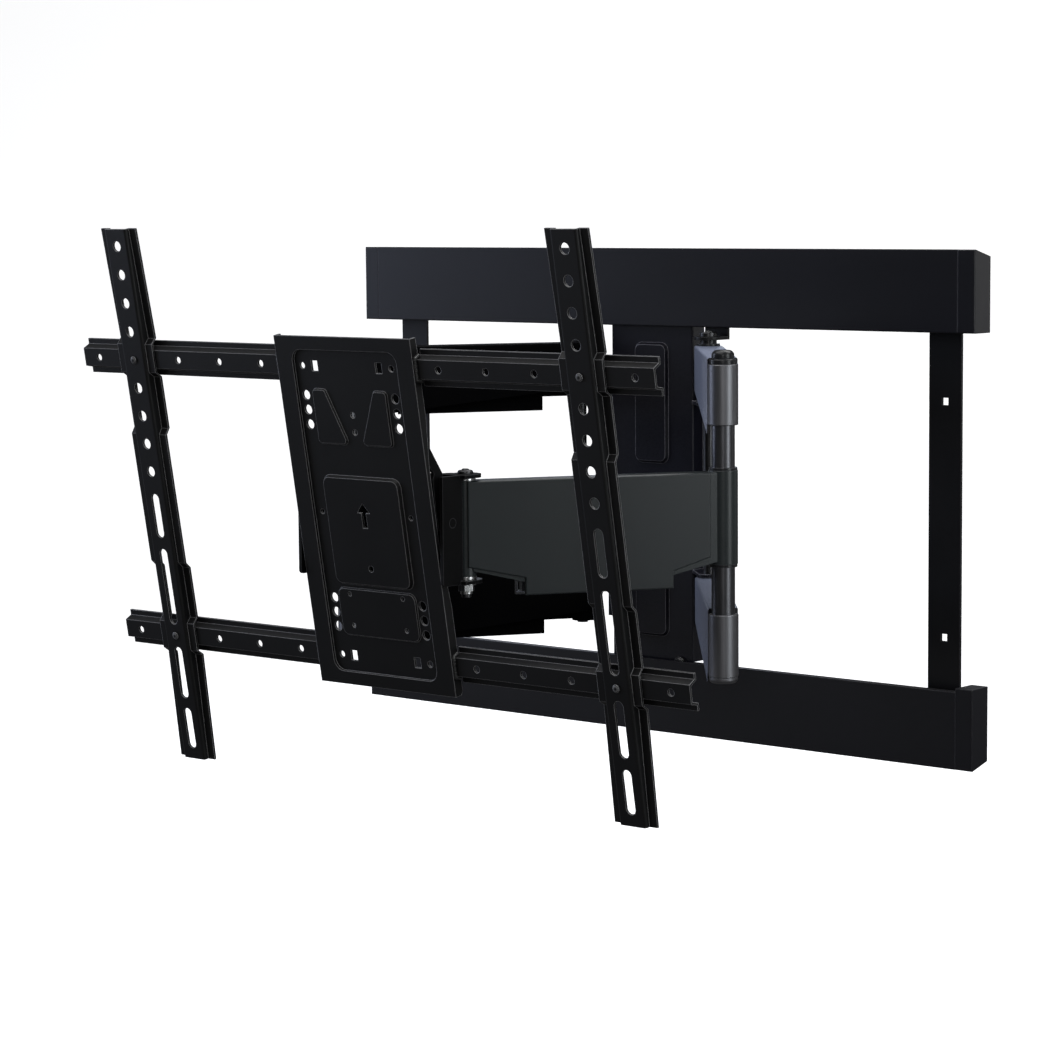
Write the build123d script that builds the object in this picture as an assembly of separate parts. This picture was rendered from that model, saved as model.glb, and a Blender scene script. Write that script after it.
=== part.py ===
"""Dual-arm full motion television wall mount.

World frame, millimetres: X runs along the wall, Z is up, the wall is the plane
Y = 0 and the television hangs on the -Y side.  The origin lies on the wall, midway
between the two wall pivots and level with the middle of the forearms.
"""
from build123d import *
import math
import os

# ---------------------------------------------------------------- driving sizes
ARM = 225.0                 # pivot to pivot length of every arm
PIVOT_X = 75.0              # wall pivots, and yoke pivots, sit at +-PIVOT_X
WALL_PIVOT_Y = -30.0        # wall pivot axes in front of the wall
OUT_SWING = 40.0            # rest angle of the right rear arm from straight ahead
IN_SWING = 33.0             # rest angle of the right forearm, the other way
SHEET = 2.5                 # general sheet steel thickness

FRAME_WIDTH = 710.0
FRAME_Z = -1.0              # middle of the wall frame, just under the arms' middle
COVER_OUTER = 225.5         # outer edge of a cover from the frame's middle
COVER_INNER = 153.5         # inner edge of a cover from the frame's middle
COVER_DEPTH = 26.0
COVER_WALL = 2.5
COVER_SLOPE = 6.7           # how far the outer flange falls towards the wall
CAP_WIDTH = 17.0
BOTTOM_PANEL_STEP = 3.5     # the bottom cover's panel is this much lower than its caps
RAIL_HALF = 333.0
RAIL_INNER = 158.0          # rail edges, from the frame's middle
RAIL_OUTER = 215.0
RAIL_BRIM = 13.0            # height of each brim of the hat section
RAIL_FRONT = 15.5           # front of the brims from the wall
STUD_PITCH = 406.4          # lag hole spacing for wall studs
LAG_LEVEL = 186.5           # lag holes above and below the origin
LAG_HOLE = 9.0
LAG_SLOT = 30.0
STRAP_X = 311.0
STRAP_WIDTH = 33.0
STRAP_HOLE = 6.4
PLATE_HALF = 47.5           # half width of the middle wall plate
PLATE_FRONT = 18.0
WING_HALF = 65.5            # half width over the plate's wings on the wall
WING_END = 124.0
WALL_BOLT_X = 33.0
WALL_BOLT_Z = 160.0

BEAM_HALF = 13.0            # half width of the rear arm channels
BEAM_HEIGHT = 64.0
BEAM_WALL = 3.0
UPPER_BEAM = 72.0           # underside of the upper channel
LOWER_BEAM = -140.0         # underside of the lower channel
BEAM_NOTCH = 13.0           # the channel is cut away by this much over the wall tabs
NOTCH_REACH = 35.0
FLANK_RISE = 23.0           # rise of the sloped inner flank from elbow to wall
EAR_Z = 141.5               # underside of the top ears
EAR_THICK = 3.0
TAB_THICK = 3.0
WASHER = 0.7
PIN_RADIUS = 5.0
RUNNING = 0.05              # radial clearance of every turning fit

POST_RADIUS = 10.0          # elbow post
SLEEVE_RADIUS = 12.5
SLEEVE_DROP = 8.0           # sleeve ends below the channel's top and above its bottom
SLEEVE_TOP = 131.0
SLEEVE_BOTTOM = -133.5
CAP_COLLAR = 4.5            # height of the collar of an elbow's top cap
CAP_HEIGHT = 12.0
KNUCKLE_TOP = 42.0
KNUCKLE_BOTTOM = -37.0

FOREARM_HALF = 9.0
FOREARM_TOP = 41.0
FOREARM_BOTTOM = -53.5
FOREARM_END = 48.0          # length of the raised ends of the forearm's lower edge
BARREL_RADIUS = 8.5
BARREL_BOTTOM = -38.0
PANEL_THICK = 1.8
PANEL_BOTTOM = -55.0

YOKE_EAR_TOP = 43.5
YOKE_EAR_BOTTOM = -40.5
YOKE_SHEET = 3.0
YOKE_WEB = 12.0             # web behind the yoke pivots, towards the screen
CHEEK_X = 79.0
CHEEK_REACH = 36.0
YOKE_BOLT = 4.0

HEAD_TILT = 9.9             # rest tilt of the head, top edge outwards
HEAD_Y = -451.0             # face of the upper rail at its middle
HEAD_Z = 134.75
RAIL_GAP = 250.0            # upper rail to lower rail
RAIL_END = 319.0
HOLE_PITCH = 50.0
RAIL_HOLE = 6.2
HEAD_HALF = 76.5            # half width of the head plate
HEAD_EDGE = 25.5            # head plate beyond each rail line
BORDER_FRONT = 3.5          # border of the head plate in front of the rail face
FIELD_FRONT = 1.0
HEAD_SHEET = 2.0
BRACKET_X = 250.0
BRACKET_END = 115.0         # bracket beyond each rail line
BRACKET_FRONT = 5.0
BRACKET_FACE = 13.5         # half width of the bracket's face
BRACKET_BRIM = 21.6         # half width over the bracket's brims
TV_HOLE = 9.2
TILT_Y = -415.0             # tilt axis
TILT_Z = 8.0
TILT_BOLT = 4.0
TILT_ARM_THICK = 3.0

RIGHT = 1
LEFT = -1
SIDE_NAME = {RIGHT: "right", LEFT: "left"}

# ---------------------------------------------------------------- derived places
def heading(angle):
    """Unit vector at an angle from straight ahead (-Y), positive towards +X."""
    turn = math.radians(angle)
    return math.sin(turn), -math.cos(turn)


def arm_end(start, angle):
    """The far pivot of an arm that leaves start at a heading."""
    dx, dy = heading(angle)
    return start[0] + ARM * dx, start[1] + ARM * dy


WALL_PIVOT = {side: (side * PIVOT_X, WALL_PIVOT_Y) for side in (RIGHT, LEFT)}
REAR_ANGLE = {RIGHT: OUT_SWING, LEFT: -IN_SWING}
FORE_ANGLE = {RIGHT: -IN_SWING, LEFT: OUT_SWING}
ELBOW = {side: arm_end(WALL_PIVOT[side], REAR_ANGLE[side]) for side in (RIGHT, LEFT)}
YOKE_PIVOT = {side: arm_end(ELBOW[side], FORE_ANGLE[side]) for side in (RIGHT, LEFT)}
YOKE_X = (YOKE_PIVOT[RIGHT][0] + YOKE_PIVOT[LEFT][0]) / 2
YOKE_Y = YOKE_PIVOT[RIGHT][1]


# ---------------------------------------------------------------- small helpers
def box(x0, x1, y0, y1, z0, z1):
    """Block between two opposite corners."""
    middle = Pos((x0 + x1) / 2, (y0 + y1) / 2, (z0 + z1) / 2)
    return middle * Box(abs(x1 - x0), abs(y1 - y0), abs(z1 - z0))


def rod(x, y, z0, z1, radius):
    """Upright cylinder."""
    return Pos(x, y, (z0 + z1) / 2) * Cylinder(radius, z1 - z0)


def ring(x, y, z0, z1, outer, inner):
    """Upright tube or washer."""
    return rod(x, y, z0, z1, outer) - rod(x, y, z0 - 1, z1 + 1, inner)


def bore_y(x, z, radius, y0, y1):
    """Cylinder along Y."""
    return Pos(x, (y0 + y1) / 2, z) * Rot(90, 0, 0) * Cylinder(radius, abs(y1 - y0))


def rod_x(y, z, radius, x0, x1):
    """Cylinder along X."""
    return Pos((x0 + x1) / 2, y, z) * Rot(0, 90, 0) * Cylinder(radius, abs(x1 - x0))


def prism_y(points, y0, y1):
    """Prism along Y over an outline given as (x, z) points."""
    face = make_face(Polyline(*[(x, 0, z) for x, z in points], close=True))
    return Pos(0, y0, 0) * extrude(face, y1 - y0, dir=(0, 1, 0))


def prism_x(points, x0, x1):
    """Prism along X over an outline given as (y, z) points."""
    face = make_face(Polyline(*[(0, y, z) for y, z in points], close=True))
    return Pos(x0, 0, 0) * extrude(face, x1 - x0, dir=(1, 0, 0))


def prism_z(points, z0, z1):
    """Prism along Z over an outline given as (x, y) points."""
    face = make_face(Polyline(*[(x, y, 0) for x, y in points], close=True))
    return Pos(0, 0, z0) * extrude(face, z1 - z0, dir=(0, 0, 1))


def slot_z(x, z, length, width, y0, y1):
    """Cutter along Y for an upright slot centred at (x, z)."""
    return _slot(x, z, length, width, y0, y1, 90)


def slot_x(x, z, length, width, y0, y1):
    """Cutter along Y for a level slot centred at (x, z)."""
    return _slot(x, z, length, width, y0, y1, 0)


def _slot(x, z, length, width, y0, y1, turn):
    shape = Rot(0, 0, turn) * SlotOverall(length, width)
    return Pos(x, y1, z) * Rot(90, 0, 0) * extrude(shape, y1 - y0)


def soften(solid, radius, axis):
    """Round the solid's outer edges that run along one axis."""
    return fillet(solid.edges().filter_by(axis), radius)


def hexagon(x, y, z0, z1, across):
    """Upright hexagonal prism, sized across its flats."""
    return extrude(Pos(x, y, z0) * RegularPolygon(across / 2, 6, major_radius=False), z1 - z0)


def arm_place(start, angle):
    """Placing of an arm whose own frame runs along +X from its first pivot."""
    return Pos(start[0], start[1], 0) * Rot(0, 0, angle - 90)


HEAD_PLACE = Pos(YOKE_X, HEAD_Y, HEAD_Z) * Rot(HEAD_TILT, 0, 0)

parts = {}


# ---------------------------------------------------------------- wall frame
def rail(sign):
    """Hat-section steel rail that the lag bolts go through."""
    z_in = sign * RAIL_INNER
    z_out = sign * RAIL_OUTER
    web_in = sign * (RAIL_INNER + RAIL_BRIM)
    web_out = sign * (RAIL_OUTER - RAIL_BRIM)
    back = 0.0
    brim = -RAIL_FRONT
    section = [
        (brim, z_in), (brim, web_in + sign * SHEET), (back - SHEET, web_in + sign * SHEET),
        (back - SHEET, web_out - sign * SHEET), (brim, web_out - sign * SHEET), (brim, z_out),
        (brim + SHEET, z_out), (brim + SHEET, web_out), (back, web_out),
        (back, web_in), (brim + SHEET, web_in), (brim + SHEET, z_in),
    ]
    body = prism_x(section, -RAIL_HALF, RAIL_HALF)
    level = sign * LAG_LEVEL - FRAME_Z
    for x in (-STUD_PITCH / 2, STUD_PITCH / 2):
        body -= bore_y(x, level, LAG_HOLE / 2, -10, 1)
    for x in (-0.75 * STUD_PITCH, -0.25 * STUD_PITCH, 0.25 * STUD_PITCH, 0.75 * STUD_PITCH):
        body -= slot_x(x, level, LAG_SLOT, LAG_HOLE, -10, 1)
    for x in (-WALL_BOLT_X, WALL_BOLT_X):
        body -= bore_y(x, sign * WALL_BOLT_Z, 4.2, -20, -10)
    return Pos(0, 0, FRAME_Z) * body


def strap(side):
    """Flat upright strap against the wall that joins the two rails edge to edge."""
    x = side * STRAP_X
    end = RAIL_INNER + RAIL_BRIM
    body = box(x - STRAP_WIDTH / 2, x + STRAP_WIDTH / 2, -SHEET, 0, -end, end)
    body = soften(body, 3, Axis.Y)
    for z in (93.0, -114.0):
        body -= box(x - STRAP_HOLE / 2, x + STRAP_HOLE / 2, -SHEET - 1, 1,
                    z - STRAP_HOLE / 2, z + STRAP_HOLE / 2)
    return Pos(0, 0, FRAME_Z) * body


def plate_tab(side, z_top):
    """Tab bent out of the wall plate's flange to carry a wall pivot."""
    x = side * PIVOT_X
    root = side * (PLATE_HALF - SHEET)
    low = z_top - TAB_THICK
    outline = [
        (root, -2), (root, -16), (x - side * 2, WALL_PIVOT_Y - 10.8),
        (x + side * 9, WALL_PIVOT_Y + 6.3),
    ]
    tab = prism_z(outline, low, z_top) + rod(x, WALL_PIVOT_Y, low, z_top, BEAM_HALF - 2)
    return tab - rod(x, WALL_PIVOT_Y, z_top - 10, z_top + 10, PIN_RADIUS)


# Top faces of the plate's tabs: one in the upper channel's notch, one over the lower channel.
UPPER_TAB = UPPER_BEAM + BEAM_NOTCH - WASHER
LOWER_TAB = LOWER_BEAM + BEAM_HEIGHT + WASHER + TAB_THICK
TAB_LEVELS = (UPPER_TAB, LOWER_TAB)


def wall_plate():
    """Middle channel of the wall frame, with pressed panels and four pivot tabs."""
    top = RAIL_INNER + RAIL_BRIM - 1
    face = box(-PLATE_HALF, PLATE_HALF, -PLATE_FRONT, -RAIL_FRONT, -top, top)
    flange_end = RAIL_INNER - 0.5
    for side in (RIGHT, LEFT):
        outer = side * PLATE_HALF
        face += box(outer - side * SHEET, outer, -RAIL_FRONT, 0, -flange_end, flange_end)
        face += box(outer - side * 1, side * WING_HALF, -SHEET, 0, -WING_END, WING_END)
    face = fillet(face.edges().filter_by(Axis.Z).group_by(Axis.Y)[0], 1.5)
    body = Pos(0, 0, FRAME_Z) * face
    for side in (RIGHT, LEFT):
        for level in TAB_LEVELS:
            body += plate_tab(side, level)
    for z in (81.0, -81.0):
        pad = Pos(0, -PLATE_FRONT, z) * Rot(90, 0, 0) * RectangleRounded(39, 112, 8)
        body += extrude(pad, 3, taper=35)
        inner_pad = Pos(0, -PLATE_FRONT + SHEET, z) * Rot(90, 0, 0) * RectangleRounded(36, 109, 7)
        body -= extrude(inner_pad, 3, taper=35)
    for x in (-WALL_BOLT_X, WALL_BOLT_X):
        for z in (-WALL_BOLT_Z, WALL_BOLT_Z):
            body -= bore_y(x, z + FRAME_Z, 4.2, -PLATE_FRONT - 1, -10)
    return body


def top_ear(side):
    """Angle bracket on the top rail that holds the head of a wall pivot pin."""
    x = side * PIVOT_X
    half = BEAM_HALF
    root_top = RAIL_INNER + RAIL_BRIM + FRAME_Z
    root = box(x - half, x + half, -PLATE_FRONT, -RAIL_FRONT, EAR_Z, root_top)
    root = fillet(root.edges().filter_by(Axis.Y).group_by(Axis.Z)[0], 3)
    shelf = box(x - half, x + half, WALL_PIVOT_Y, -RAIL_FRONT, EAR_Z, EAR_Z + EAR_THICK)
    shelf += rod(x, WALL_PIVOT_Y, EAR_Z, EAR_Z + EAR_THICK, half)
    return root + shelf - rod(x, WALL_PIVOT_Y, EAR_Z - 1, EAR_Z + 10, PIN_RADIUS)


def cover_section(inner, step):
    """Outline of a cover in (y, z): front panel and the flange that falls to the wall."""
    outer = COVER_OUTER
    wall = COVER_WALL
    fall = COVER_SLOPE
    return [
        (-COVER_DEPTH, inner + step), (-COVER_DEPTH, outer), (0, outer - fall),
        (0, outer - fall - wall), (-COVER_DEPTH + wall, outer - wall), (-COVER_DEPTH + wall, inner + step),
    ]


def cover(sign, step):
    """Long plastic cover that hides a rail; open towards the middle and the wall."""
    half = FRAME_WIDTH / 2 - CAP_WIDTH - 0.3
    outline = [(y, sign * z) for y, z in cover_section(COVER_INNER, step)]
    body = prism_x(outline, -half, half)
    for x in (-240.0, -80.0, 80.0, 240.0):
        rib = box(x - 1, x + 1, -COVER_DEPTH + 1, -RAIL_FRONT - 0.2,
                  sign * (RAIL_OUTER - 8), sign * (COVER_OUTER - 4))
        body += rib
    front = body.edges().filter_by(Axis.X).group_by(Axis.Y)[0]
    body = fillet(front, 1.0)
    return Pos(0, 0, FRAME_Z) * body


def end_cap(side, sign):
    """Moulded cap that closes one end of a cover."""
    outer = side * FRAME_WIDTH / 2
    inner = side * (FRAME_WIDTH / 2 - CAP_WIDTH)
    depth = COVER_DEPTH
    block = [(-depth, COVER_INNER), (-depth, COVER_OUTER), (0, COVER_OUTER - COVER_SLOPE), (0, COVER_INNER)]
    low, high = sorted((inner, outer))
    body = prism_x([(y, sign * z) for y, z in block], low, high)
    front_edges = body.edges().filter_by(Axis.X).group_by(Axis.Y)[0]
    end_edges = body.faces().sort_by(Axis.X)[-1 if side == RIGHT else 0].edges()
    body = fillet(front_edges + end_edges.filter_by(Axis.Z), 1.2)
    wall = COVER_WALL
    pocket = [
        (-depth + wall, COVER_INNER + wall), (-depth + wall, COVER_OUTER - wall - 0.6),
        (1, COVER_OUTER - COVER_SLOPE - wall - 0.6), (1, COVER_INNER + wall),
    ]
    open_end = inner - side * 1
    closed_end = outer - side * wall
    low, high = sorted((open_end, closed_end))
    body -= prism_x([(y, sign * z) for y, z in pocket], low, high)
    return Pos(0, 0, FRAME_Z) * body


def frame_bolts():
    """Button-head bolts through the wall plate into the rail brims."""
    group = []
    for x in (-WALL_BOLT_X, WALL_BOLT_X):
        for sign in (1, -1):
            z = sign * WALL_BOLT_Z + FRAME_Z
            bolt = bore_y(x, z, 4.2, -PLATE_FRONT, -RAIL_FRONT + SHEET)
            bolt += bore_y(x, z, 6.5, -PLATE_FRONT - 3, -PLATE_FRONT)
            bolt += bore_y(x, z, 5.0, -PLATE_FRONT - 4, -PLATE_FRONT - 3)
            group.append(bolt)
    return Compound(children=group)


def wall_pin(side):
    """Long pivot pin from the top ear down through both tabs."""
    x, y = WALL_PIVOT[side]
    bottom = LOWER_BEAM + BEAM_NOTCH - 2
    body = rod(x, y, bottom, EAR_Z + EAR_THICK, PIN_RADIUS)
    head = rod(x, y, EAR_Z + EAR_THICK, EAR_Z + EAR_THICK + 4, 8)
    return body + fillet(head.edges().group_by(Axis.Z)[-1], 1.2)


def wall_bushes(side):
    """Flanged bush under the top ear and thin washers over the two tabs."""
    x, y = WALL_PIVOT[side]
    beam_top = UPPER_BEAM + BEAM_HEIGHT
    bush = ring(x, y, beam_top, EAR_Z, 7.5, PIN_RADIUS)
    bush += ring(x, y, beam_top, beam_top + 2, 10.5, PIN_RADIUS)
    group = [bush]
    for low in (UPPER_TAB, LOWER_TAB - TAB_THICK - WASHER):
        group.append(ring(x, y, low, low + WASHER, 9.5, PIN_RADIUS))
    return Compound(children=group)


# ---------------------------------------------------------------- rear arms
def rear_beam(z_low):
    """Pressed channel of a rear arm, in its own frame along +X.

    The inner flank is on the -Y side; the left arm's channel is its mirror image.
    """
    z_top = z_low + BEAM_HEIGHT
    reach = ARM - 2
    body = box(0, reach, -BEAM_HALF, BEAM_HALF, z_low, z_top) + rod(0, 0, z_low, z_top, BEAM_HALF)
    body = fillet(body.edges().filter_by(GeomType.CIRCLE).group_by(Axis.Z)[-1], 1.5)
    inner = BEAM_HALF - BEAM_WALL
    pocket_top = z_top - BEAM_WALL
    body -= box(0, ARM + 10, -inner, inner, z_low - 1, pocket_top)
    body -= rod(0, 0, z_low - 1, pocket_top, inner)
    body -= box(-BEAM_HALF - 1, NOTCH_REACH, -BEAM_HALF - 1, BEAM_HALF + 1, z_low - 1, z_low + BEAM_NOTCH)
    wedge = [
        (-BEAM_HALF - 1, z_low - 1), (-BEAM_HALF - 1, z_low + FLANK_RISE), (0, z_low + FLANK_RISE),
        (ARM - 20, z_low + 1), (ARM - 20, z_low - 1),
    ]
    body -= prism_y(wedge, -BEAM_HALF - 1, -inner + 1)
    body -= box(ARM - 10, ARM + 10, 0, BEAM_HALF + 1, z_top - 5, z_top + 1)
    body -= box(ARM - 50, ARM + 10, inner - 0.5, BEAM_HALF + 1, z_low - 1, z_low + SLEEVE_DROP)
    body -= box(ARM - 12, ARM + 10, -BEAM_HALF - 1, BEAM_HALF + 1, z_low - 1, z_low + SLEEVE_DROP)
    body += rod(0, 0, z_low + BEAM_NOTCH, pocket_top, inner)
    body -= rod(0, 0, z_low - 1, z_top + 1, PIN_RADIUS + RUNNING)
    body -= rod(ARM, 0, z_low - 1, z_top + 1, SLEEVE_RADIUS)
    return body


def handed(shape, side):
    """The shape itself for the right side, its mirror image for the left."""
    return shape if side == RIGHT else mirror(shape, Plane.XZ)


def rear_arm(side):
    """All fixed pieces of one rear arm."""
    place = arm_place(WALL_PIVOT[side], REAR_ANGLE[side])
    name = SIDE_NAME[side]
    parts[name + "_upper_beam"] = place * handed(rear_beam(UPPER_BEAM), side)
    parts[name + "_lower_beam"] = place * handed(rear_beam(LOWER_BEAM), side)
    x, y = ELBOW[side]
    post = ring(x, y, SLEEVE_BOTTOM + 3, SLEEVE_TOP, POST_RADIUS, 6.5)
    parts[name + "_elbow_post"] = post
    upper = ring(x, y, UPPER_BEAM + SLEEVE_DROP, SLEEVE_TOP, SLEEVE_RADIUS, POST_RADIUS)
    lower_top = LOWER_BEAM + BEAM_HEIGHT - 4
    lower = ring(x, y, SLEEVE_BOTTOM, lower_top, SLEEVE_RADIUS, POST_RADIUS)
    outer_rims = upper.edges().filter_by(GeomType.CIRCLE).filter_by(lambda e: e.radius > POST_RADIUS + 1)
    parts[name + "_upper_sleeve"] = fillet(outer_rims, 0.8)
    outer_rims = lower.edges().filter_by(GeomType.CIRCLE).filter_by(lambda e: e.radius > POST_RADIUS + 1)
    parts[name + "_lower_sleeve"] = fillet(outer_rims, 0.8)
    parts[name + "_top_cap"] = top_cap(x, y)
    parts[name + "_bottom_cap"] = bottom_cap(x, y)
    collars = [
        ring(x, y, KNUCKLE_TOP + 0.1, KNUCKLE_TOP + 2.6, SLEEVE_RADIUS - 0.5, POST_RADIUS),
        ring(x, y, KNUCKLE_BOTTOM - 2.6, KNUCKLE_BOTTOM - 0.1, SLEEVE_RADIUS - 0.5, POST_RADIUS),
    ]
    parts[name + "_elbow_collars"] = Compound(children=collars)


def top_cap(x, y):
    """Collared, domed plug in the top of an elbow post."""
    z = SLEEVE_TOP
    collar = rod(x, y, z, z + CAP_COLLAR, SLEEVE_RADIUS - 0.9)
    collar = fillet(collar.edges().group_by(Axis.Z)[-1], 1.2)
    groove = rod(x, y, z + CAP_COLLAR, z + CAP_COLLAR + 0.8, 8.6)
    dome = rod(x, y, z + CAP_COLLAR + 0.8, z + CAP_HEIGHT, 9.6)
    dome = fillet(dome.edges().group_by(Axis.Z)[-1], 4.6)
    return collar + groove + dome + rod(x, y, z - 10, z, 6.5)


def bottom_cap(x, y):
    """Rounded plug in the bottom of an elbow post."""
    z = SLEEVE_BOTTOM
    dome = rod(x, y, z - 5, z, SLEEVE_RADIUS - 0.4)
    dome = fillet(dome.edges().group_by(Axis.Z)[0], 3.1)
    return dome + rod(x, y, z, z + 3, POST_RADIUS)


# ---------------------------------------------------------------- forearms
def forearm_outline(top, bottom, start, end, lift):
    """Side outline of the forearm in (x, z), raised at both ends of its lower edge."""
    return [
        (start, top), (start, -33.5 + lift), (FOREARM_END, -44 + lift), (FOREARM_END, bottom),
        (ARM - FOREARM_END, bottom), (ARM - FOREARM_END, -44 + lift), (end, -33.5 + lift), (end, top),
    ]


def forearm():
    """Steel channel with a barrel at each end, in its own frame from elbow to yoke."""
    half = FOREARM_HALF
    body = prism_y(forearm_outline(FOREARM_TOP, FOREARM_BOTTOM, 4, ARM - 4, 0), -half, half)
    top_edges = body.edges().filter_by(Axis.X).group_by(Axis.Z)[-1]
    body = fillet(top_edges, 1.5)
    inner = half - SHEET
    body -= box(3, ARM - 3, -inner, inner, FOREARM_BOTTOM - 1, FOREARM_TOP - SHEET)
    body += rod(0, 0, KNUCKLE_BOTTOM, KNUCKLE_TOP, SLEEVE_RADIUS)
    body += rod(ARM, 0, BARREL_BOTTOM, FOREARM_TOP, BARREL_RADIUS)
    body -= rod(0, 0, KNUCKLE_BOTTOM - 1, KNUCKLE_TOP + 1, POST_RADIUS + RUNNING)
    body -= rod(ARM, 0, BARREL_BOTTOM - 1, FOREARM_TOP + 1, YOKE_BOLT + RUNNING)
    return body


def forearm_panel():
    """Moulded cable cover on the outer flank of the forearm."""
    outline = forearm_outline(FOREARM_TOP - 0.5, PANEL_BOTTOM, 15, ARM + 1, 3.5)
    body = prism_y(outline, FOREARM_HALF, FOREARM_HALF + PANEL_THICK)
    front = body.faces().sort_by(Axis.Y)[-1]
    return fillet(front.edges(), 0.8)


def cable_hook():
    """Small slotted tab under the forearm, beside the panel's step."""
    x0 = ARM - FOREARM_END + 1
    x1 = x0 + 7
    y0 = FOREARM_HALF - SHEET
    tab = box(x0, x1, y0 - 2, y0, -54, -36)
    tab -= box(x0 + 2.2, x1 - 2.2, y0 - 3, y0 + 1, -51, -44)
    foot = box(x0, x1, y0, y0 + 3, -54, -52)
    return tab + foot


def front_arm(side):
    """All pieces of one forearm."""
    place = arm_place(ELBOW[side], FORE_ANGLE[side])
    name = SIDE_NAME[side]
    parts[name + "_forearm"] = place * handed(forearm(), side)
    parts[name + "_forearm_panel"] = place * handed(forearm_panel(), side)
    parts[name + "_cable_hook"] = place * handed(cable_hook(), side)


# ---------------------------------------------------------------- yoke
def yoke():
    """Folded swivel bracket between the forearms and the head."""
    top = YOKE_EAR_TOP + YOKE_SHEET
    bottom = YOKE_EAR_BOTTOM - YOKE_SHEET
    web_front = -YOKE_WEB - YOKE_SHEET
    cheek_outer = CHEEK_X + YOKE_SHEET
    body = box(-cheek_outer, cheek_outer, web_front, -YOKE_WEB, bottom, top)
    for low in (YOKE_EAR_TOP, bottom):
        high = low + YOKE_SHEET
        for side in (RIGHT, LEFT):
            x = side * PIVOT_X
            lobe = box(x - side * 18, x + side * 13, web_front, 0, low, high)
            lobe = fillet(lobe.edges().filter_by(Axis.Z).group_by(Axis.Y)[-1], 5)
            body += lobe + rod(x, 0, low, high, 13)
    for side in (RIGHT, LEFT):
        x0 = side * CHEEK_X
        x1 = side * cheek_outer
        cheek = [
            (-CHEEK_REACH, top), (-CHEEK_REACH, bottom + 2), (-CHEEK_REACH + 2, bottom),
            (web_front + 1, bottom), (web_front + 1, top),
        ]
        low, high = sorted((x0, x1))
        body += prism_x(cheek, low, high)
        for level in (bottom - 1, YOKE_EAR_TOP - 1):
            body -= rod(side * PIVOT_X, 0, level, level + YOKE_SHEET + 2, YOKE_BOLT)
        pivot_y = TILT_Y - YOKE_Y
        body -= rod_x(pivot_y, TILT_Z, TILT_BOLT, side * 60, side * 100)
    for x in (-48, 48):
        body -= slot_z(x, 0, 44, 12, web_front - 1, -YOKE_WEB + 1)
    return Pos(YOKE_X, YOKE_Y, 0) * body


def yoke_bolt(side):
    """Swivel bolt through the yoke's ears."""
    x, y = YOKE_PIVOT[side]
    top = YOKE_EAR_TOP + YOKE_SHEET
    head = rod(x, y, top, top + 3, 6.5)
    head = fillet(head.edges().group_by(Axis.Z)[-1], 1.8)
    return rod(x, y, YOKE_EAR_BOTTOM - YOKE_SHEET - 12, top, YOKE_BOLT) + head


def yoke_nut(side):
    """Lock nut under the yoke."""
    x, y = YOKE_PIVOT[side]
    top = YOKE_EAR_BOTTOM - YOKE_SHEET - 1.5
    nut = hexagon(x, y, top - 5.5, top, 12)
    nut += rod(x, y, top - 7.8, top - 5.5, 5.0)
    return nut - rod(x, y, top - 12, top + 1, YOKE_BOLT)


def yoke_washers(side):
    """Washers at both ends of the forearm's barrel and under the yoke."""
    x, y = YOKE_PIVOT[side]
    low = YOKE_EAR_BOTTOM - YOKE_SHEET
    group = [
        ring(x, y, FOREARM_TOP + 0.1, YOKE_EAR_TOP, 8.5, YOKE_BOLT),
        ring(x, y, YOKE_EAR_BOTTOM, BARREL_BOTTOM - 0.1, 8.5, YOKE_BOLT),
        ring(x, y, low - 1.5, low, 8.2, YOKE_BOLT),
    ]
    return Compound(children=group)


def tilt_bolts():
    """Friction bolts that carry the tilt arms, with their spacers and nuts."""
    group = []
    cheek_outer = CHEEK_X + YOKE_SHEET
    arm_outer = HEAD_HALF - HEAD_SHEET
    arm_inner = arm_outer - TILT_ARM_THICK
    for side in (RIGHT, LEFT):
        bolt = rod_x(TILT_Y, TILT_Z, TILT_BOLT, side * 65, side * cheek_outer)
        bolt += rod_x(TILT_Y, TILT_Z, 7, side * (arm_outer + 0.1), side * CHEEK_X)
        nut = Pos(side * 66, TILT_Y, TILT_Z) * Rot(0, 90, 0) * RegularPolygon(6.5, 6)
        bolt += extrude(nut, side * (arm_inner - 66 - 0.1), dir=(1, 0, 0))
        group.append(Pos(YOKE_X, 0, 0) * bolt)
    return Compound(children=group)


# ---------------------------------------------------------------- head
def rail_section():
    """Hat section of a head rail in (y, z), its crown facing -Y at y = 0."""
    t = HEAD_SHEET
    upper = [(0, 0), (0, 8), (7, 10.5), (7, 15.3), (7 + t, 15.3), (7 + t, 9.1), (t, 6.6), (t, 0)]
    lower = [(y, -z) for y, z in reversed(upper[:])]
    return upper[1:-1] + lower[1:-1]


def head_rail(side, level):
    """Half rail, welded to the head plate's side flange."""
    low, high = sorted((side * HEAD_HALF, side * RAIL_END))
    body = prism_x(rail_section(), low, high)
    for index in range(2, 7):
        body -= bore_y(side * index * HOLE_PITCH, 0, RAIL_HOLE / 2, -1, 10)
    return HEAD_PLACE * Pos(0, 0, level) * body


def panel_cut(points):
    """Face in the head plate's plane from (x, z) points."""
    return make_face(Polyline(*[(x, 0, z) for x, z in points], close=True))


def pressed(face, front, height, taper):
    """Solid pressed out of a face towards -Y, starting at y = -front."""
    return Pos(0, -front, 0) * extrude(face, height, dir=(0, -1, 0), taper=taper)


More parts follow.
